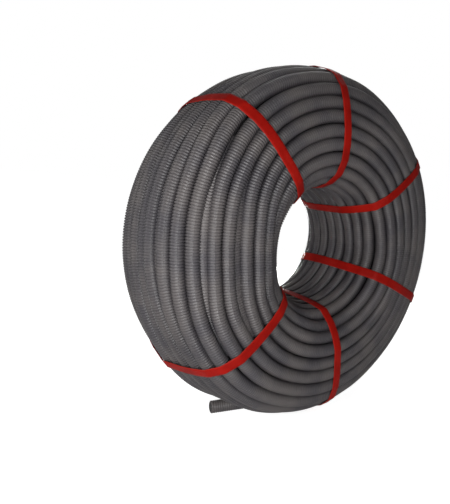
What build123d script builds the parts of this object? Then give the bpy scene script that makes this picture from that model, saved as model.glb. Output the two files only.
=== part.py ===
"""A coil of corrugated conduit, wound as a thick ring and tied with six flat straps.

Millimetres, +Z up. The origin is on the floor under the middle of the coil. The coil stands on
its rim with its axis along Y, and the strand's loose end lies on the floor and points to -X.
"""
import os
from math import cos, pi, radians, sin

from build123d import *

# Conduit: outside of the ridges, clear bore, and the ridges' spacing, height and crest width
CONDUIT_OD = 16.0
CONDUIT_BORE = 10.7
RIDGE_PITCH = 3.0
RIDGE_HEIGHT = 1.3
RIDGE_CREST = 1.4

# Coil: outer radius, radius of the eye, width, and how square its section is on each side
COIL_RADIUS = 227.0
EYE_RADIUS = 75.0
COIL_WIDTH = 180.0
RIM_SQUARENESS = 2.85
EYE_SQUARENESS = 3.4
TURN_SPACING = 16.6
TURN_CREST = 6.6
GROOVE_DEPTH = 6.5

# Straps: where they lie round the coil, from +X towards +Z, and their flat section
STRAP_ANGLES = (135.5, 95.5, 39.5, -23.0, -85.5, -142.0)
STRAP_WIDTH = 12.0
STRAP_THICKNESS = 0.8
STRAP_CLEARANCE = 0.2

# Loose end: it leaves the middle turn at the floor, bends sideways, then runs straight
TAIL_ROOT_RUN = 36.0
TAIL_BEND_RADIUS = 90.0
TAIL_BEND_ANGLE = 14.5
TAIL_CLEARANCE = 0.4
TAIL_END_RIDGES = 9


def section_curve(angle, half_depth, half_width):
    """A point of the coil's section: its distance from the coil's axis, and its place along it."""
    depth, place = cos(angle), sin(angle)
    power = 2 / (RIM_SQUARENESS if depth > 0 else EYE_SQUARENESS)
    middle = (COIL_RADIUS + EYE_RADIUS) / 2
    radius = middle + half_depth * abs(depth) ** power * (1 if depth > 0 else -1)
    return Vector(radius, half_width * abs(place) ** power * (1 if place > 0 else -1))


def crest_height():
    """How far a turn's flat crest stands out from the turn's centre."""
    return ((CONDUIT_OD / 2) ** 2 - (TURN_CREST / 2) ** 2) ** 0.5


def turn_centres():
    """Centres of the turns that show, evenly spaced along the coil's section from the rim's middle."""
    half_depth = (COIL_RADIUS - EYE_RADIUS) / 2 - crest_height()
    half_width = COIL_WIDTH / 2 - crest_height()
    samples = 2000
    curve = [section_curve(2 * pi * k / samples, half_depth, half_width) for k in range(samples + 1)]
    run = [0.0]
    for here, there in zip(curve, curve[1:]):
        run.append(run[-1] + (there - here).length)
    count = round(run[-1] / TURN_SPACING)
    centres = []
    for turn in range(count):
        target = run[-1] * turn / count
        k = min(range(samples), key=lambda sample: abs(run[sample] - target))
        centres.append(curve[k])
    return centres


def outward(here, there):
    """The unit vector that points out of the coil's section, square to the line of two centres."""
    along = (there - here).normalized()
    return Vector(along.Y, -along.X)


def turned_coil(centres):
    """The wound ring as one turned solid: each turn shows as a bead with a crest and two flanks."""
    valleys = []
    for here, there in zip(centres, centres[1:] + centres[:1]):
        rise = crest_height() - GROOVE_DEPTH
        valleys.append((here + there) * 0.5 + outward(here, there) * rise)
    outline = []
    for turn, centre in enumerate(centres):
        before, after = centres[turn - 1], centres[(turn + 1) % len(centres)]
        crest = centre + outward(before, after) * crest_height()
        half_crest = (after - before).normalized() * TURN_CREST / 2
        outline += [crest - half_crest, crest + half_crest, valleys[turn]]
    return revolve(make_face(Polyline(*outline, close=True)), Axis.Y)


def strap(centres, angle):
    """One flat strap, drawn tight round the section over the crests of the turns."""
    hull = Polygon(*centres, align=None)
    inside = offset(hull, CONDUIT_OD / 2 + STRAP_CLEARANCE, kind=Kind.INTERSECTION)
    outside = offset(hull, CONDUIT_OD / 2 + STRAP_CLEARANCE + STRAP_THICKNESS, kind=Kind.INTERSECTION)
    band = extrude(outside - inside, STRAP_WIDTH / 2, both=True)
    return Rot(Y=-angle) * band


def axis_height(straps):
    """Height of the coil's axis when its lowest strap, or its rim, stands on the floor."""
    return max([COIL_RADIUS] + [-piece.bounding_box().min.Z for piece in straps])


def tail_line(coil_height):
    """Centre line of the loose end along the floor, to where the coil's rim clears its top."""
    rim_above = coil_height - CONDUIT_OD - TAIL_CLEARANCE
    clear_reach = (COIL_RADIUS ** 2 - rim_above ** 2) ** 0.5
    root = Line((0, 0, CONDUIT_OD / 2), (-TAIL_ROOT_RUN, 0, CONDUIT_OD / 2))
    bend = JernArc(root @ 1, root % 1, TAIL_BEND_RADIUS, -TAIL_BEND_ANGLE)
    straight = (clear_reach + (bend @ 1).X) / cos(radians(TAIL_BEND_ANGLE))
    return Wire([root, bend, Line(bend @ 1, (bend @ 1) + (bend % 1) * straight)])


def tail_root(line):
    """The part of the loose end that lies under the coil and against it."""
    return sweep(Plane(origin=line @ 0, z_dir=line % 0) * Circle(CONDUIT_OD / 2), line)


def corrugated_end():
    """A straight length of the corrugated wall with its open bore, along +Z from its inner end."""
    crest = CONDUIT_OD / 2
    foot = crest - RIDGE_HEIGHT
    length = TAIL_END_RIDGES * RIDGE_PITCH
    outline = [(CONDUIT_BORE / 2, length), (CONDUIT_BORE / 2, 0), (foot, 0)]
    for ridge in range(TAIL_END_RIDGES):
        middle = (ridge + 0.5) * RIDGE_PITCH
        outline += [(crest, middle - RIDGE_CREST / 2), (crest, middle + RIDGE_CREST / 2)]
        outline.append((foot, middle + RIDGE_PITCH / 2))
    return revolve(make_face(Plane.XZ * Polyline(*outline, close=True)), Axis.Z)


centres = turn_centres()
straps = [strap(centres, angle) for angle in STRAP_ANGLES]
coil_height = axis_height(straps)
lift = Pos(Z=coil_height)
tail = tail_line(coil_height)
end_seat = Plane(origin=tail @ 1, z_dir=tail % 1)

nodes = {
    "conduit_coil": lift * turned_coil(centres) + tail_root(tail),
    "conduit_end": end_seat.location * corrugated_end(),
}
for number, piece in enumerate(straps, start=1):
    nodes[f"strap_{number}"] = lift * piece

os.makedirs("parts", exist_ok=True)
for name, solid in nodes.items():
    export_step(solid, f"parts/{name}.step")
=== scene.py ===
from math import pi, radians

import bmesh
import bpy
import numpy as np
from mathutils import Euler, Matrix, Vector


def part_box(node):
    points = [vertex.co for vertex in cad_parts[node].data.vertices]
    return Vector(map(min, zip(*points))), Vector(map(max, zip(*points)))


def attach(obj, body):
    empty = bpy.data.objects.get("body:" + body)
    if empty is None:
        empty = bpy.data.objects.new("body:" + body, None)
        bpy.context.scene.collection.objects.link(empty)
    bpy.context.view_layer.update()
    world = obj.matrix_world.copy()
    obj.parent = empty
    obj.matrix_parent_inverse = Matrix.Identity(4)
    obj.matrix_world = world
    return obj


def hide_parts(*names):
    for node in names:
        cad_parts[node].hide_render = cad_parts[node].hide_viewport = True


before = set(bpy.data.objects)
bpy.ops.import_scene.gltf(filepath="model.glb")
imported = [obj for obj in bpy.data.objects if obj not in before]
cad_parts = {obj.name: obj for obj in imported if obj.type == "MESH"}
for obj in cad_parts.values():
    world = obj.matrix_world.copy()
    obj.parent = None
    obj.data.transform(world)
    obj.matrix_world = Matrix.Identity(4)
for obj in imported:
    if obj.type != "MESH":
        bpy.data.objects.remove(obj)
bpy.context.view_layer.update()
MM = 0.001
scene = bpy.context.scene
scene.view_settings.view_transform = "Standard"

# The studio: a pale floor that runs to a white horizon, two soft lamps in front on the left, three
# behind, and a camera a little above the coil's axis, held with a slight tilt.
FLOOR_HALF_SIZE = 40.0
FLOOR_COLOUR = (0.75, 0.75, 0.75, 1.0)
FLOOR_GLOW = 0.86
FLOOR_GLOW_FAR = 1.0
FLOOR_NEAR = 0.3
FLOOR_FAR = 2.5
SKY_LIGHT = 0.035
MIRRORED_SHARE = 0.2
LAMP_AIM = (0.0, -0.05, 0.22)
# each lamp's name, place, power in watts and width
LAMPS = (
    ("front_lamp", (-0.50, -0.70, 0.22), 3.3, 0.12),
    ("left_lamp", (-0.43, -0.24, 0.25), 0.68, 0.12),
    ("rear_lamp", (0.50, 0.50, 1.10), 3.6, 0.70),
    ("low_rear_lamp", (0.65, 0.95, 0.16), 5.0, 0.20),
    ("rear_left_lamp", (-0.95, 0.48, 0.60), 2.0, 0.40),
)
CAMERA_PLACE = (-0.40187, -0.44555, 0.29360)
CAMERA_HEADING = -41.995
CAMERA_DIP = 6.149
CAMERA_ROLL = 5.53
CAMERA_LENS = 31.08
CAMERA_SHIFT = (-0.1389, -0.0218)


def white_backdrop(tree, plain_level, white_level):
    """The strength of a white backdrop: bright to the camera and through glass, dimmer in
    reflections, and plain_level where it only lights the object."""
    path = tree.nodes.new("ShaderNodeLightPath")
    strength = plain_level
    shares = {"Is Camera Ray": 1.0, "Is Transmission Ray": 1.0, "Is Glossy Ray": MIRRORED_SHARE}
    for ray, share in shares.items():
        seen = tree.nodes.new("ShaderNodeMath")
        seen.operation = "MULTIPLY"
        seen.inputs[1].default_value = share * white_level
        tree.links.new(path.outputs[ray], seen.inputs[0])
        brightest = tree.nodes.new("ShaderNodeMath")
        brightest.operation = "MAXIMUM"
        tree.links.new(seen.outputs["Value"], brightest.inputs[0])
        if isinstance(strength, float):
            brightest.inputs[1].default_value = strength
        else:
            tree.links.new(strength, brightest.inputs[1])
        strength = brightest.outputs["Value"]
    return strength


world = bpy.data.worlds.new("white_studio")
scene.world = world
world.use_nodes = True
sky = world.node_tree
sky.links.new(white_backdrop(sky, SKY_LIGHT, 1.0), sky.nodes["Background"].inputs["Strength"])
sky.nodes["Background"].inputs["Color"].default_value = (1.0, 1.0, 1.0, 1.0)

floor_paint = bpy.data.materials.new("pale_floor")
floor_paint.use_nodes = True
paint = floor_paint.node_tree
matte = paint.nodes["Principled BSDF"]
matte.inputs["Base Color"].default_value = FLOOR_COLOUR
matte.inputs["Roughness"].default_value = 0.9
matte.inputs["Specular IOR Level"].default_value = 0.0
matte.inputs["Emission Color"].default_value = (1.0, 1.0, 1.0, 1.0)
position = paint.nodes.new("ShaderNodeTexCoord")
distance = paint.nodes.new("ShaderNodeVectorMath")
distance.operation = "LENGTH"
paint.links.new(position.outputs["Object"], distance.inputs[0])
brighter = paint.nodes.new("ShaderNodeMapRange")
brighter.interpolation_type = "SMOOTHSTEP"
brighter.inputs["From Min"].default_value = FLOOR_NEAR
brighter.inputs["From Max"].default_value = FLOOR_FAR
brighter.inputs["To Min"].default_value = FLOOR_GLOW
brighter.inputs["To Max"].default_value = FLOOR_GLOW_FAR
paint.links.new(distance.outputs["Value"], brighter.inputs["Value"])
glow = paint.nodes.new("ShaderNodeMath")
glow.operation = "MULTIPLY"
paint.links.new(white_backdrop(paint, 0.0, 1.0), glow.inputs[0])
paint.links.new(brighter.outputs["Result"], glow.inputs[1])
paint.links.new(glow.outputs["Value"], matte.inputs["Emission Strength"])

shape = bmesh.new()
bmesh.ops.create_grid(shape, x_segments=2, y_segments=2, size=FLOOR_HALF_SIZE)
floor_mesh = bpy.data.meshes.new("studio_floor")
shape.to_mesh(floor_mesh)
shape.free()
floor_mesh.materials.append(floor_paint)
floor = bpy.data.objects.new("studio_floor", floor_mesh)
scene.collection.objects.link(floor)

for name, place, power, size in LAMPS:
    light = bpy.data.lights.new(name, "AREA")
    light.energy = power
    light.shape = "SQUARE"
    light.size = size
    lamp = bpy.data.objects.new(name, light)
    lamp.location = place
    lamp.rotation_euler = (Vector(LAMP_AIM) - Vector(place)).to_track_quat("-Z", "Y").to_euler()
    lamp.visible_camera = False
    scene.collection.objects.link(lamp)

lens = bpy.data.cameras.new("camera")
lens.lens = CAMERA_LENS
lens.shift_x, lens.shift_y = CAMERA_SHIFT
lens.clip_start = 0.01
camera = bpy.data.objects.new("camera", lens)
heading = Euler((radians(90 - CAMERA_DIP), 0, radians(CAMERA_HEADING))).to_matrix()
camera.rotation_euler = (heading @ Matrix.Rotation(radians(CAMERA_ROLL), 3, "Z")).to_euler()
camera.location = CAMERA_PLACE
scene.collection.objects.link(camera)
scene.camera = camera


# The wound conduit: one corrugated plastic tube, blown in a ridged mould and wound in layers.
# Its outer turns are made here, in lengths that meet under a strap. They lie side by side round
# the ring's section, step over by one turn on the left, and part a little in places.
CONDUIT_OD = 16.0
RIDGE_PITCH = 3.0
RIDGE_HEIGHT = 1.3
RIDGE_CREST = 1.4
COIL_RADIUS = 227.0
EYE_RADIUS = 75.0
COIL_WIDTH = 180.0
RIM_SQUARENESS = 2.85
EYE_SQUARENESS = 3.4
TURNS = 31
POINTS_A_TURN = 72
RIDGE_SIDES = 14
WOUND_PIECES = 6
END_RIDGES = 30
STEP_START, STEP_END = 0.15, 0.37
STRAP_ANGLES = (135.5, 95.5, 39.5, -23.0, -85.5, -142.0)
# the first turn comes up from this depth within this share of a turn, and both of the strand's
# ends lie calm for this share
START_DEPTH = 15.0
START_RISE = 0.09
CALM_RUN = 0.3
# waves in the winding: how far, how many to a turn and a phase; the drifts along the section are
# shares of the way round it, and the dips below it are in mm
DRIFTS = ((0.0007, 0.617, 0.4), (0.0005, 1.373, 0.0))
DIPS = ((0.8, 0.829, 1.9), (0.3, 2.21, 0.0))
# after which turn, the middle and half the run as shares of a turn, and the room in turns
PARTINGS = (
    (28, 0.285, 0.105, 0.36),
    (25, 0.250, 0.070, 0.26),
    (23, 0.235, 0.115, 0.36),
    (22, 0.68, 0.10, 0.14),
    (24, 0.55, 0.09, 0.16),
    (12, 0.55, 0.12, 0.12),
    (7, 0.80, 0.14, 0.20),
    (3, 0.45, 0.12, 0.22),
)
# under each strap: its share of a turn, a first turn, and how far that and the next turns stand
# out, in mm, which gives the strap its bends and its straight runs; the heights come from a
# program's fit of the straps' lines to the photo, rounded and eased
STRAP_SEATS = (
    (0.374, 21, (-1.0, -1.8, -1.6, -0.6, 1.6, 4.0, 3.2)),
    (0.485, 19, (1.6, 2.2, 1.4, 0.0, -2.0, -2.0, 0.0, 1.6)),
    (0.640, 16, (0.0, -2.5, -3.0, 0.5, 0.0)),
    (0.814, 16, (-1.5, -3.0, -2.0, 2.2, 2.2, 2.0)),
    (0.988, 18, (1.0, -2.5, -2.5, 0.0, 0.0, 1.2, 1.5, 1.4)),
    (0.144, 20, (-1.5, -3.5, -2.5, 0.0, 2.2, 3.6, 2.0, -0.8, -2.6, -1.6)),
    (0.144, 0, (3.0, 1.5)),
)
SEAT_HALF_RUN = 0.085
SWELL_STEEPNESS = 1.4
SECTION_POINTS = 4001
SLOPE_REACH = 0.5
MERGE_GAP = 0.05
coil_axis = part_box("conduit_coil")[1].z / MM - COIL_RADIUS


def strap_share(angle):
    """The share of a turn, from the floor on, at which a strap with this angle crosses the turns."""
    return (-90 - angle) % 360 / 360


def ease(share):
    """A smooth rise from nought to one."""
    share = np.clip(share, 0, 1)
    return share * share * (3 - 2 * share)


def swell(place, middle, half_run):
    """A smooth swell: one in the middle of a stretch, nought at both of its ends."""
    return ease(SWELL_STEEPNESS * (1 - np.abs(place - middle) / half_run))


def ring_section(inset):
    """The ring's section, from the rim's middle towards the back, on a curve inset below the
    surface: each point's distance from the axis, its place along it and the way round to it."""
    angle = np.linspace(0, 2 * pi, SECTION_POINTS)
    depth, place = np.cos(angle), np.sin(angle)
    power = 2 / np.where(depth > 0, RIM_SQUARENESS, EYE_SQUARENESS)
    half_depth = (COIL_RADIUS - EYE_RADIUS) / 2 - inset
    radius = (COIL_RADIUS + EYE_RADIUS) / 2 + half_depth * np.sign(depth) * np.abs(depth) ** power
    along = (COIL_WIDTH / 2 - inset) * np.sign(place) * np.abs(place) ** power
    way = np.concatenate([[0], np.cumsum(np.hypot(np.diff(radius), np.diff(along)))])
    return radius, along, way


def on_section(way, depth):
    """Distance from the axis and place along it, at a share of the way round the line of the
    outer turns' centres and a depth below it."""
    radius, along, run = ring_section(CONDUIT_OD / 2)
    way = np.mod(way, 1) * run[-1]
    ahead, behind = np.mod(way + SLOPE_REACH, run[-1]), np.mod(way - SLOPE_REACH, run[-1])
    rise_radius = np.interp(ahead, run, radius) - np.interp(behind, run, radius)
    rise_along = np.interp(ahead, run, along) - np.interp(behind, run, along)
    slope = np.hypot(rise_radius, rise_along)
    reach = np.interp(way, run, radius) - depth * rise_along / slope
    return reach, np.interp(way, run, along) + depth * rise_radius / slope


def on_ring(way, turn, depth):
    """Points on the ring: at a share of the way round its section, at a turn's share of the way
    round its axis from the floor, and at a depth below the outer turns' centres."""
    reach, along = on_section(way, depth)
    angle = -pi / 2 - 2 * pi * turn
    return np.stack([reach * np.cos(angle), along, coil_axis + reach * np.sin(angle)], -1)


def way_round(number, share):
    """How far round the ring's section the turn with this number is, at a share of the turn."""
    moved = number + ease((share - STEP_START) / (STEP_END - STEP_START))
    room = TURNS + np.zeros_like(moved)
    for after, middle, half_run, width in PARTINGS:
        parted = width * swell(share, middle, half_run)
        moved = moved + parted * np.clip(number - after, 0, 1)
        room = room + parted
    return moved / room


def winding_line():
    """The conduit's centre line, from under the rim's middle at the floor, once round the section."""
    turn = np.arange(TURNS * POINTS_A_TURN + 1) / POINTS_A_TURN
    number = np.floor(turn)
    calm = ease(turn / CALM_RUN) * ease((TURNS - turn) / CALM_RUN)
    drift = sum(size * np.sin(2 * pi * waves * turn + phase) for size, waves, phase in DRIFTS)
    depth = sum(size * (1 + np.sin(2 * pi * waves * turn + phase)) for size, waves, phase in DIPS)
    depth = calm * depth + START_DEPTH * (1 - ease(turn / START_RISE))
    for share, first, heights in STRAP_SEATS:
        for step, height in enumerate(heights):
            depth -= height * swell(turn, first + step + share, SEAT_HALF_RUN)
    return on_ring(way_round(number, turn - number) + calm * drift, turn, depth)


# The loose end's line along the floor, as in the part: a run from under the coil, a bend
# sideways and a straight length to the open end.
TAIL_ROOT_RUN = 36.0
TAIL_BEND_RADIUS = 90.0
TAIL_BEND_ANGLE = 14.5
TAIL_CLEARANCE = 0.4
TAIL_END_RIDGES = 9


def tail_reach():
    """How far the open end is from the coil's middle: where the rim clears the strand's top, and
    the length of the last ridges more."""
    rim_above = coil_axis - CONDUIT_OD - TAIL_CLEARANCE
    clear_reach = (COIL_RADIUS ** 2 - rim_above ** 2) ** 0.5
    return clear_reach + TAIL_END_RIDGES * RIDGE_PITCH * np.cos(radians(TAIL_BEND_ANGLE))


def loose_line():
    """Where the strand leaves the rim's middle: along the floor, a bend, then straight to the end."""
    angle = radians(TAIL_BEND_ANGLE)
    bend = np.array([0.25, 0.5, 0.75, 1.0]) * angle
    root = -TAIL_ROOT_RUN * np.array([0.25, 0.5, 0.75, 1.0])
    bend_x = -TAIL_ROOT_RUN - TAIL_BEND_RADIUS * np.sin(bend)
    bend_y = TAIL_BEND_RADIUS * (1 - np.cos(bend))
    straight = (tail_reach() + bend_x[-1]) * np.array([0.2, 0.4, 0.6, 0.8, 1.0])
    x = np.concatenate([root, bend_x, bend_x[-1] - straight])
    y = np.concatenate([0 * root, bend_y, bend_y[-1] + straight * np.tan(angle)])
    return np.stack([x, y, np.full(len(x), CONDUIT_OD / 2)], 1)


def guide(name, points):
    """A smooth line through the strand's places, for the tube to be laid along."""
    line = bpy.data.curves.new(name, "CURVE")
    line.dimensions = "3D"
    line.twist_mode = "MINIMUM"
    spline = line.splines.new("NURBS")
    spline.points.add(len(points) - 1)
    spline.points.foreach_set("co", np.c_[points * MM, np.ones(len(points))].ravel())
    spline.order_u = 3
    spline.use_endpoint_u = True
    spline.resolution_u = 3
    holder = bpy.data.objects.new(name, line)
    scene.collection.objects.link(holder)
    return holder


def one_ridge(skins, sides):
    """One ridge of the conduit's wall, spun about X from the outline of each of its skins. The
    attributes crest and side say how far out a point is and how far round from the mould's seam."""
    shape = bmesh.new()
    for outline in skins:
        ring = [shape.verts.new((along * MM, 0, radius * MM)) for along, radius in outline]
        for here, there in zip(ring, ring[1:]):
            shape.edges.new((here, there))
    bmesh.ops.spin(shape, geom=shape.verts[:] + shape.edges[:], cent=(0, 0, 0), axis=(1, 0, 0),
                   angle=2 * pi, steps=sides, use_merge=True)
    crest, side = (shape.verts.layers.float.new(label) for label in ("crest", "side"))
    for point in shape.verts:
        radius = np.hypot(point.co.y, point.co.z)
        point[crest] = min(max((radius / MM - FOOT) / RIDGE_HEIGHT, 0.0), 1.0)
        point[side] = point.co.y / radius
    for face in shape.faces:
        face.smooth = True
    return shape


def how_far_out(points, sunk):
    """For points of a tube sunk by a depth: one on the ring's surface, nought a turn's width below."""
    reach = np.hypot(points[:, 0], points[:, 2] - coil_axis)
    radius = reach - (COIL_RADIUS + EYE_RADIUS) / 2
    along = points[:, 1]
    power = np.where(radius > 0, RIM_SQUARENESS, EYE_SQUARENESS)
    half_depth = (COIL_RADIUS - EYE_RADIUS) / 2
    level = np.abs(radius / half_depth) ** power + np.abs(along / (COIL_WIDTH / 2)) ** power
    depth = (1 - level ** (1 / power)) * half_depth - sunk
    return np.clip(1 - depth / CONDUIT_OD, 0, 1)


def laid_tube(name, ridge, first, count, line, sunk=0.0, open_end=False):
    """A run of ridges laid along a guide line from the ridge number first. Its ends are closed, or
    with open_end its skins are joined at them. The attribute outer says how far out a point is."""
    bmesh.ops.translate(ridge, verts=ridge.verts, vec=(first * RIDGE_PITCH * MM, 0, 0))
    mesh = bpy.data.meshes.new(name)
    ridge.to_mesh(mesh)
    ridge.free()
    tube = bpy.data.objects.new(name, mesh)
    scene.collection.objects.link(tube)
    row = tube.modifiers.new("row", "ARRAY")
    row.count = count
    row.use_relative_offset = False
    row.use_constant_offset = True
    row.constant_offset_displace = (RIDGE_PITCH * MM, 0, 0)
    row.use_merge_vertices = True
    row.merge_threshold = MERGE_GAP * MM
    wind = tube.modifiers.new("wind", "CURVE")
    wind.object = line
    wind.deform_axis = "POS_X"
    done = bpy.data.meshes.new_from_object(tube.evaluated_get(bpy.context.evaluated_depsgraph_get()))
    tube.modifiers.clear()
    tube.data = done
    bpy.data.meshes.remove(mesh)
    done.name = name
    shape = bmesh.new()
    shape.from_mesh(done)
    rims = [edge for edge in shape.edges if edge.is_boundary]
    if open_end:
        mouth = [edge for edge in rims if edge.verts[0].co.x < END_SPLIT * MM]
        bmesh.ops.bridge_loops(shape, edges=mouth)
        bmesh.ops.bridge_loops(shape, edges=[edge for edge in rims if edge not in mouth])
    else:
        bmesh.ops.holes_fill(shape, edges=rims, sides=0)
    for edge in rims:
        edge.smooth = False
    bmesh.ops.recalc_face_normals(shape, faces=shape.faces)
    shape.to_mesh(done)
    shape.free()
    points = np.empty(len(done.vertices) * 3, np.float32)
    done.vertices.foreach_get("co", points)
    outer = done.attributes.new("outer", "FLOAT", "POINT")
    outer.data.foreach_set("value", how_far_out(points.reshape(-1, 3) / MM, sunk).astype(np.float32))
    return tube


def node_group(name, inputs, outputs):
    """An empty node group with the given sockets, and its input and output nodes."""
    group = bpy.data.node_groups.new(name, "ShaderNodeTree")
    for label, kind in inputs:
        group.interface.new_socket(label, in_out="INPUT", socket_type=kind)
    for label, kind in outputs:
        group.interface.new_socket(label, in_out="OUTPUT", socket_type=kind)
    return group, group.nodes.new("NodeGroupInput"), group.nodes.new("NodeGroupOutput")


def noise(tree, scale, detail, roughness):
    """A noise texture on Object coordinates; its scale is a number or a socket."""
    place = tree.nodes.new("ShaderNodeTexCoord")
    texture = tree.nodes.new("ShaderNodeTexNoise")
    texture.inputs["Detail"].default_value = detail
    texture.inputs["Roughness"].default_value = roughness
    tree.links.new(place.outputs["Object"], texture.inputs["Vector"])
    if isinstance(scale, (int, float)):
        texture.inputs["Scale"].default_value = scale
    else:
        tree.links.new(scale, texture.inputs["Scale"])
    return texture.outputs["Fac"]


def spread(tree, value, low, high, to_low=0.0, to_high=1.0):
    """A value mapped smoothly from one range to another; its ends are numbers or sockets."""
    ranged = tree.nodes.new("ShaderNodeMapRange")
    ranged.interpolation_type = "SMOOTHSTEP"
    tree.links.new(value, ranged.inputs["Value"])
    for label, end in (("From Min", low), ("From Max", high), ("To Min", to_low), ("To Max", to_high)):
        if isinstance(end, (int, float)):
            ranged.inputs[label].default_value = end
        else:
            tree.links.new(end, ranged.inputs[label])
    return ranged.outputs["Result"]


def worked_out(tree, kind, first, second=0.0):
    """A Math node of the kind named; its second value is a number or a socket, where it needs one."""
    node = tree.nodes.new("ShaderNodeMath")
    node.operation = kind
    tree.links.new(first, node.inputs[0])
    if isinstance(second, (int, float)):
        node.inputs[1].default_value = second
    else:
        tree.links.new(second, node.inputs[1])
    return node.outputs["Value"]


def blend_colours(tree, share, under, over, kind="MIX"):
    """Two colours mixed by a share; each is a tuple or a socket."""
    mixed = tree.nodes.new("ShaderNodeMix")
    mixed.data_type = "RGBA"
    mixed.blend_type = kind
    tree.links.new(share, mixed.inputs["Factor"])
    for socket, colour in ((mixed.inputs["A"], under), (mixed.inputs["B"], over)):
        if isinstance(colour, tuple):
            socket.default_value = colour
        else:
            tree.links.new(colour, socket)
    return mixed.outputs["Result"]


def cloudy_colour():
    """A shared group: two close colours that drift into each other, as in a batch of plastic."""
    group, given, result = node_group(
        "cloudy_colour",
        (("Size", "NodeSocketFloat"), ("Dark", "NodeSocketColor"), ("Light", "NodeSocketColor")),
        (("Colour", "NodeSocketColor"),))
    clouds = noise(group, given.outputs["Size"], detail=4.0, roughness=0.6)
    drift = spread(group, clouds, low=0.33, high=0.67)
    colour = blend_colours(group, drift, given.outputs["Dark"], given.outputs["Light"])
    group.links.new(colour, result.inputs["Colour"])
    return group


def rubbed_marks():
    """A shared group: scattered spots and streaks where a surface was rubbed in handling."""
    group, given, result = node_group(
        "rubbed_marks", (("Size", "NodeSocketFloat"), ("Patch Size", "NodeSocketFloat")),
        (("Mask", "NodeSocketFloat"),))
    fine = noise(group, given.outputs["Size"], detail=5.0, roughness=0.7)
    marks = spread(group, fine, low=0.52, high=0.70)
    wide = noise(group, given.outputs["Patch Size"], detail=2.0, roughness=0.5)
    patches = spread(group, wide, low=0.45, high=0.65)
    group.links.new(worked_out(group, "MULTIPLY", marks, patches), result.inputs["Mask"])
    return group


def settled_dust():
    """A shared group: fine dust that lies in patches on what faces up."""
    group, given, result = node_group(
        "settled_dust", (("Patch Size", "NodeSocketFloat"),), (("Mask", "NodeSocketFloat"),))
    facing = group.nodes.new("ShaderNodeNewGeometry")
    parts = group.nodes.new("ShaderNodeSeparateXYZ")
    group.links.new(facing.outputs["Normal"], parts.inputs["Vector"])
    upward = spread(group, parts.outputs["Z"], low=-0.1, high=0.9)
    wide = noise(group, given.outputs["Patch Size"], detail=6.0, roughness=0.65)
    patches = spread(group, wide, low=0.35, high=0.75)
    group.links.new(worked_out(group, "MULTIPLY", upward, patches), result.inputs["Mask"])
    return group


GRAIN_PATCHES = 0.03


def moulded_grain():
    """A shared group: the fine uneven skin of moulded or rolled plastic, duller in wide patches."""
    group, given, result = node_group(
        "moulded_grain",
        (("Size", "NodeSocketFloat"), ("Depth", "NodeSocketFloat"), ("Smooth", "NodeSocketFloat"),
         ("Dull", "NodeSocketFloat")),
        (("Normal", "NodeSocketVector"), ("Roughness", "NodeSocketFloat")))
    grain = noise(group, given.outputs["Size"], detail=3.0, roughness=0.55)
    relief = group.nodes.new("ShaderNodeBump")
    relief.inputs["Strength"].default_value = 0.6
    group.links.new(given.outputs["Depth"], relief.inputs["Distance"])
    group.links.new(grain, relief.inputs["Height"])
    group.links.new(relief.outputs["Normal"], result.inputs["Normal"])
    patch_size = worked_out(group, "MULTIPLY", given.outputs["Size"], GRAIN_PATCHES)
    patches = noise(group, patch_size, detail=4.0, roughness=0.6)
    dulled = spread(group, patches, 0.3, 0.7, given.outputs["Smooth"], given.outputs["Dull"])
    group.links.new(dulled, result.inputs["Roughness"])
    return group


CLOUDY, RUBBED, DUST, GRAIN = cloudy_colour(), rubbed_marks(), settled_dust(), moulded_grain()


def placed(tree, group, **values):
    """A shared group placed in a material with its own values."""
    node = tree.nodes.new("ShaderNodeGroup")
    node.node_tree = group
    for label, value in values.items():
        node.inputs[label.replace("_", " ")].default_value = value
    return node


def ridge_level(tree, label):
    """A value that the ridges carry from their own mesh."""
    node = tree.nodes.new("ShaderNodeAttribute")
    node.attribute_name = label
    return node.outputs["Fac"]


CONDUIT_DARK = (0.070, 0.065, 0.072, 1.0)
CONDUIT_LIGHT = (0.118, 0.106, 0.104, 1.0)
# painted shade: this colour darkens the valleys between the ridges
PAINTED_GROOVE_SHADE = (0.66, 0.66, 0.67, 1.0)
# painted shade: this colour darkens the sides of the turns down between them
PAINTED_CREVICE_SHADE = (0.42, 0.42, 0.45, 1.0)
RUBBED_GREY = (0.20, 0.195, 0.195, 1.0)
DUST_GREY = (0.24, 0.23, 0.215, 1.0)
DUST_SHARE = 0.10
RUBBED_SHARE = 0.55
# the mould's seam: half its width as shares of the radius, from full height to nought, and height
SEAM_FULL, SEAM_EDGE = 0.02, 0.09
SEAM_HEIGHT = 0.15

conduit_plastic = bpy.data.materials.new("grey_conduit_plastic")
conduit_plastic.use_nodes = True
wall = conduit_plastic.node_tree
plastic = wall.nodes["Principled BSDF"]
plastic.inputs["Specular IOR Level"].default_value = 0.42
clouds = placed(wall, CLOUDY, Size=22.0, Dark=CONDUIT_DARK, Light=CONDUIT_LIGHT)
out_on_ridge = ridge_level(wall, "crest")
# painted shade: the ridges' valleys are darkened in the colour, towards the foot of each ridge
groove_shade_mask = spread(wall, out_on_ridge, low=0.95, high=0.0)
colour = blend_colours(wall, groove_shade_mask, clouds.outputs["Colour"], PAINTED_GROOVE_SHADE, "MULTIPLY")
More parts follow.
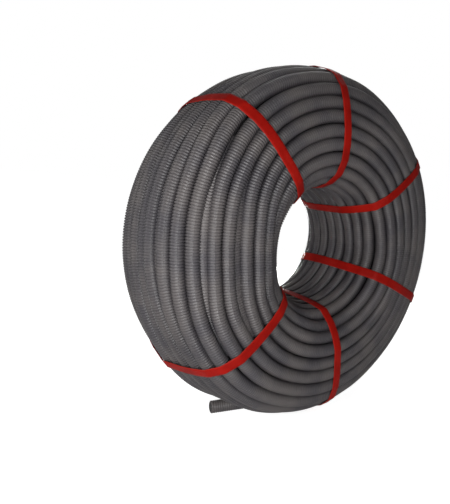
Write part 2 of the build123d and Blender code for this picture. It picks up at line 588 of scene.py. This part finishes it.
# painted shade: each turn is darkened in the colour the deeper it lies below the ring's surface
shade_between_turns = spread(wall, ridge_level(wall, "outer"), low=0.95, high=0.5)
colour = blend_colours(wall, shade_between_turns, colour, PAINTED_CREVICE_SHADE, "MULTIPLY")
rubs = placed(wall, RUBBED, Size=420.0, Patch_Size=14.0)
on_crest = spread(wall, out_on_ridge, low=0.6, high=1.0, to_high=RUBBED_SHARE)
rubbed_crests = worked_out(wall, "MULTIPLY", rubs.outputs["Mask"], on_crest)
colour = blend_colours(wall, rubbed_crests, colour, RUBBED_GREY)
dust = placed(wall, DUST, Patch_Size=45.0)
dusted = worked_out(wall, "MULTIPLY", dust.outputs["Mask"], DUST_SHARE)
colour = blend_colours(wall, dusted, colour, DUST_GREY)
wall.links.new(colour, plastic.inputs["Base Color"])
grain = placed(wall, GRAIN, Size=1900.0, Depth=0.12 * MM, Smooth=0.36, Dull=0.48)
wall.links.new(worked_out(wall, "ADD", grain.outputs["Roughness"], dusted), plastic.inputs["Roughness"])
from_seam = worked_out(wall, "ABSOLUTE", ridge_level(wall, "side"))
seam = worked_out(wall, "MULTIPLY", spread(wall, from_seam, SEAM_EDGE, SEAM_FULL), out_on_ridge)
parting_line = wall.nodes.new("ShaderNodeBump")
parting_line.inputs["Distance"].default_value = SEAM_HEIGHT * MM
wall.links.new(seam, parting_line.inputs["Height"])
wall.links.new(grain.outputs["Normal"], parting_line.inputs["Normal"])
wall.links.new(parting_line.outputs["Normal"], plastic.inputs["Normal"])

FOOT = CONDUIT_OD / 2 - RIDGE_HEIGHT
flank = (RIDGE_PITCH - RIDGE_CREST) / 2
OUTER_SKIN = ((0, FOOT), (flank, CONDUIT_OD / 2), (RIDGE_PITCH - flank, CONDUIT_OD / 2), (RIDGE_PITCH, FOOT))

winding = winding_line()
strand_line = guide("strand_line", np.concatenate([winding, loose_line()]))
strand_length = sum(run.calc_length() for run in strand_line.data.splines) / MM
ridges = int(strand_length / RIDGE_PITCH)
wound_ridges = ridges - END_RIDGES
steps = np.linalg.norm(np.diff(winding, axis=0), axis=1)
passed = np.concatenate([[0], np.cumsum(steps)]) / RIDGE_PITCH
crossings = np.add.outer(np.arange(TURNS), [strap_share(angle) for angle in STRAP_ANGLES]).ravel()
crossings = np.interp(crossings * POINTS_A_TURN, np.arange(len(passed)), passed)
joints = [0]
for number in range(1, WOUND_PIECES):
    wanted = wound_ridges * number / WOUND_PIECES
    joints.append(round(crossings[np.argmin(np.abs(crossings - wanted))]))
joints.append(wound_ridges)
for number, (first, last) in enumerate(zip(joints, joints[1:])):
    ridge = one_ridge((OUTER_SKIN,), RIDGE_SIDES)
    tube = laid_tube(f"wound_conduit_{number + 1}", ridge, first, last - first, strand_line)
    tube.data.materials.append(conduit_plastic)
    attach(tube, "root")
    if number == 0:
        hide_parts("conduit_coil")


# The turns below: lengths of the same conduit, one layer down, that come up where the outer
# turns part widely, and sink under them again at both ends.
LOWER_DEPTH = 6.5
LOWER_SINK = 5.5
LOWER_REACH = 1.5
LOWER_TURNS = 3
LOWER_LEVEL = 0.9
for number, (after, middle, half_run, _) in enumerate(PARTINGS[:LOWER_TURNS], start=1):
    reach = LOWER_REACH * half_run
    share = np.arange(middle - reach, middle + reach, 1 / POINTS_A_TURN)
    between = (way_round(after + 0 * share, share) + way_round(after + 1 + 0 * share, share)) / 2
    depth = LOWER_DEPTH + LOWER_SINK * (1 - swell(share, middle, LOWER_LEVEL * reach))
    below_line = guide(f"below_line_{number}", on_ring(between, share, depth))
    count = int(below_line.data.splines[0].calc_length() / MM / RIDGE_PITCH)
    ridge = one_ridge((OUTER_SKIN,), RIDGE_SIDES)
    tube = laid_tube(f"turn_below_{number}", ridge, 0, count, below_line, sunk=LOWER_DEPTH)
    tube.data.materials.append(conduit_plastic)
    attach(tube, "root")
    bpy.data.objects.remove(below_line)


# The inner turns: the layer under the outer one, seen only as a dark bottom in the grooves, and
# coloured far darker than the conduit as painted shade. It is made as one ring, spun about the
# coil's axis, with a round for each turn.
INNER_CENTRE_DEPTH = 15.2
INNER_POINTS = 6
INNER_REACH = 7.2
INNER_STEPS = 96
# painted shade: the same plastic as the conduit, coloured far darker for the shade down in the grooves
INNER_SHADE_DARK = (0.026, 0.025, 0.026, 1.0)
INNER_SHADE_LIGHT = (0.044, 0.042, 0.043, 1.0)

place = np.arange(TURNS * INNER_POINTS) / INNER_POINTS
off_centre = np.minimum(np.abs(place % 1 - 0.5) * CONDUIT_OD, INNER_REACH)
depth = INNER_CENTRE_DEPTH - np.sqrt((CONDUIT_OD / 2) ** 2 - off_centre ** 2)
reach, along = on_section(place / TURNS, depth)
shape = bmesh.new()
ring = [shape.verts.new((x * MM, y * MM, 0)) for x, y in zip(reach, along)]
for here, there in zip(ring, ring[1:] + ring[:1]):
    shape.edges.new((here, there))
bmesh.ops.spin(shape, geom=shape.verts[:] + shape.edges[:], cent=(0, 0, 0), axis=(0, 1, 0),
               angle=2 * pi, steps=INNER_STEPS, use_merge=True)
bmesh.ops.recalc_face_normals(shape, faces=shape.faces)
bmesh.ops.translate(shape, verts=shape.verts, vec=(0, 0, coil_axis * MM))
for face in shape.faces:
    face.smooth = True
inner_mesh = bpy.data.meshes.new("inner_turns")
shape.to_mesh(inner_mesh)
shape.free()

shaded_plastic = bpy.data.materials.new("shaded_inner_plastic")
shaded_plastic.use_nodes = True
depths = shaded_plastic.node_tree
dim = depths.nodes["Principled BSDF"]
dim.inputs["Specular IOR Level"].default_value = 0.0
clouds = placed(depths, CLOUDY, Size=40.0, Dark=INNER_SHADE_DARK, Light=INNER_SHADE_LIGHT)
depths.links.new(clouds.outputs["Colour"], dim.inputs["Base Color"])
grain = placed(depths, GRAIN, Size=900.0, Depth=0.4 * MM, Smooth=0.75, Dull=0.95)
depths.links.new(grain.outputs["Normal"], dim.inputs["Normal"])
depths.links.new(grain.outputs["Roughness"], dim.inputs["Roughness"])
inner_mesh.materials.append(shaded_plastic)
inner_turns = bpy.data.objects.new("inner_turns", inner_mesh)
scene.collection.objects.link(inner_turns)
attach(inner_turns, "root")


# The loose end: the last length of the strand, on the floor, cut square. Its wall is one thin
# skin that follows the ridges inside and out, so the bore is open and ridged too.
WALL = 1.2
END_SIDES = 32
# a place along X between the two ends of this length
END_SPLIT = -60.0
inner_skin = tuple((along, radius - WALL) for along, radius in OUTER_SKIN)
ridge = one_ridge((OUTER_SKIN, inner_skin), END_SIDES)
loose_end = laid_tube("loose_end", ridge, wound_ridges, END_RIDGES, strand_line, open_end=True)
loose_end.data.materials.append(conduit_plastic)
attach(loose_end, "root")
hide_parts("conduit_end")
bpy.data.objects.remove(strand_line)


# The straps: six bands of flat red plastic strapping, rolled with a fine waffle, pulled tight
# over the turns and closed. Each is drawn over the turns that stand out furthest and runs
# straight from one to the next.
STRAP_WIDTH = 12.0
STRAP_THICKNESS = 0.8
STRAP_CLEARANCE = 0.5
STRAP_POINTS = 260
STRAP_LANES = 4
STRAP_EDGE = 0.25
STRAP_WANDER = 1.1
WANDER_PHASE = 1.7
STRAP_FACINGS = 1440
STRAP_DARK = (0.27, 0.0055, 0.003, 1.0)
STRAP_LIGHT = (0.37, 0.009, 0.005, 1.0)
STRAP_RUBBED = (0.44, 0.075, 0.05, 1.0)
WAFFLE_PITCH = 1.3
WAFFLE_DEPTH = 0.08
# wear at the edges: how far in it starts, how far in it is full, and its share of the colour
WEAR_START, WEAR_FULL = 0.9, 0.1
WEAR_SHARE = 0.22

strap_plastic = bpy.data.materials.new("red_strapping")
strap_plastic.use_nodes = True
band_tree = strap_plastic.node_tree
red = band_tree.nodes["Principled BSDF"]
red.inputs["Specular IOR Level"].default_value = 0.08
clouds = placed(band_tree, CLOUDY, Size=30.0, Dark=STRAP_DARK, Light=STRAP_LIGHT)
rubs = placed(band_tree, RUBBED, Size=300.0, Patch_Size=18.0)
way = band_tree.nodes.new("ShaderNodeUVMap")
way.uv_map = "way"
parts = band_tree.nodes.new("ShaderNodeSeparateXYZ")
band_tree.links.new(way.outputs["UV"], parts.inputs["Vector"])
along, across = parts.outputs["X"], parts.outputs["Y"]
waves = []
for kind in ("ADD", "SUBTRACT"):
    slanted = worked_out(band_tree, kind, along, across)
    turned = worked_out(band_tree, "MULTIPLY", slanted, pi / WAFFLE_PITCH)
    waves.append(worked_out(band_tree, "ABSOLUTE", worked_out(band_tree, "SINE", turned)))
waffle = worked_out(band_tree, "MULTIPLY", waves[0], waves[1])
from_middle = worked_out(band_tree, "ABSOLUTE", worked_out(band_tree, "SUBTRACT", across, STRAP_WIDTH / 2))
at_edge = spread(band_tree, from_middle, STRAP_WIDTH / 2 - WEAR_START, STRAP_WIDTH / 2 - WEAR_FULL)
rubbed = worked_out(band_tree, "MAXIMUM", rubs.outputs["Mask"], at_edge)
worn = worked_out(band_tree, "MULTIPLY", rubbed, WEAR_SHARE)
colour = blend_colours(band_tree, worn, clouds.outputs["Colour"], STRAP_RUBBED)
band_tree.links.new(colour, red.inputs["Base Color"])
grain = placed(band_tree, GRAIN, Size=1400.0, Depth=0.06 * MM, Smooth=0.44, Dull=0.58)
band_tree.links.new(grain.outputs["Roughness"], red.inputs["Roughness"])
rolled = band_tree.nodes.new("ShaderNodeBump")
rolled.inputs["Strength"].default_value = 0.5
rolled.inputs["Distance"].default_value = WAFFLE_DEPTH * MM
band_tree.links.new(waffle, rolled.inputs["Height"])
band_tree.links.new(grain.outputs["Normal"], rolled.inputs["Normal"])
band_tree.links.new(rolled.outputs["Normal"], red.inputs["Normal"])


def strap_path(angle):
    """Distance from the axis, place along it and way along the band of points on a band drawn
    tight over the turns at an angle."""
    turn = (np.arange(TURNS) + strap_share(angle)) * POINTS_A_TURN
    row = np.arange(len(winding))
    centre_radius = np.interp(turn, row, np.hypot(winding[:, 0], winding[:, 2] - coil_axis))
    centre_along = np.interp(turn, row, winding[:, 1])
    facing = np.linspace(0, 2 * pi, STRAP_FACINGS, endpoint=False)
    reach = np.outer(np.cos(facing), centre_radius) + np.outer(np.sin(facing), centre_along)
    furthest = np.argmax(reach, axis=1)
    stand_off = CONDUIT_OD / 2 + STRAP_CLEARANCE
    radius = centre_radius[furthest] + stand_off * np.cos(facing)
    along = centre_along[furthest] + stand_off * np.sin(facing)
    radius, along = np.append(radius, radius[0]), np.append(along, along[0])
    run = np.concatenate([[0], np.cumsum(np.hypot(np.diff(radius), np.diff(along)))])
    place = np.linspace(0, run[-1], STRAP_POINTS, endpoint=False)
    return np.interp(place, run, radius), np.interp(place, run, along), place


def strap_band(name, angle, phase):
    """One band: a loop of edges along its path, extruded across its width, thickened and rounded."""
    radius, along, place = strap_path(angle)
    swing = STRAP_WANDER * np.sin(2 * pi * place / place[-1] + phase)
    shape = bmesh.new()
    bmesh.ops.create_circle(shape, segments=STRAP_POINTS, radius=1.0)
    shape.verts.ensure_lookup_table()
    step, lane = (shape.verts.layers.float.new(label) for label in ("step", "lane"))
    for point, reach, side, drift, run in zip(shape.verts, radius, along, swing, place):
        point.co = Vector((reach, side, drift - STRAP_WIDTH / 2)) * MM
        point[step] = run
    edges = shape.edges[:]
    for number in range(STRAP_LANES):
        grown = bmesh.ops.extrude_edge_only(shape, edges=edges)["geom"]
        edges = [part for part in grown if isinstance(part, bmesh.types.BMEdge)]
        moved = [part for part in grown if isinstance(part, bmesh.types.BMVert)]
        bmesh.ops.translate(shape, verts=moved, vec=(0, 0, STRAP_WIDTH / STRAP_LANES * MM))
        for point in moved:
            point[lane] += STRAP_WIDTH / STRAP_LANES
    bmesh.ops.recalc_face_normals(shape, faces=shape.faces)
    way = shape.loops.layers.uv.new("way")
    loop_length = place[-1] + place[1]
    for face in shape.faces:
        face.smooth = True
        closing = max(corner.vert[step] for corner in face.loops) > place[-2]
        for corner in face.loops:
            run = corner.vert[step]
            corner[way].uv = (loop_length if closing and run == 0 else run, corner.vert[lane])
    turned = Matrix.Rotation(radians(-angle), 4, "Y")
    bmesh.ops.transform(shape, matrix=Matrix.Translation((0, 0, coil_axis * MM)) @ turned, verts=shape.verts)
    mesh = bpy.data.meshes.new(name)
    shape.to_mesh(mesh)
    shape.free()
    mesh.materials.append(strap_plastic)
    band = bpy.data.objects.new(name, mesh)
    scene.collection.objects.link(band)
    thickness = band.modifiers.new("thickness", "SOLIDIFY")
    thickness.thickness = STRAP_THICKNESS * MM
    thickness.offset = 1.0
    rounding = band.modifiers.new("edge", "BEVEL")
    rounding.width = STRAP_EDGE * MM
    rounding.segments = 1
    return band


for number, angle in enumerate(STRAP_ANGLES, start=1):
    band = strap_band(f"strap_band_{number}", angle, phase=WANDER_PHASE * number)
    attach(band, "root")
    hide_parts(f"strap_{number}")
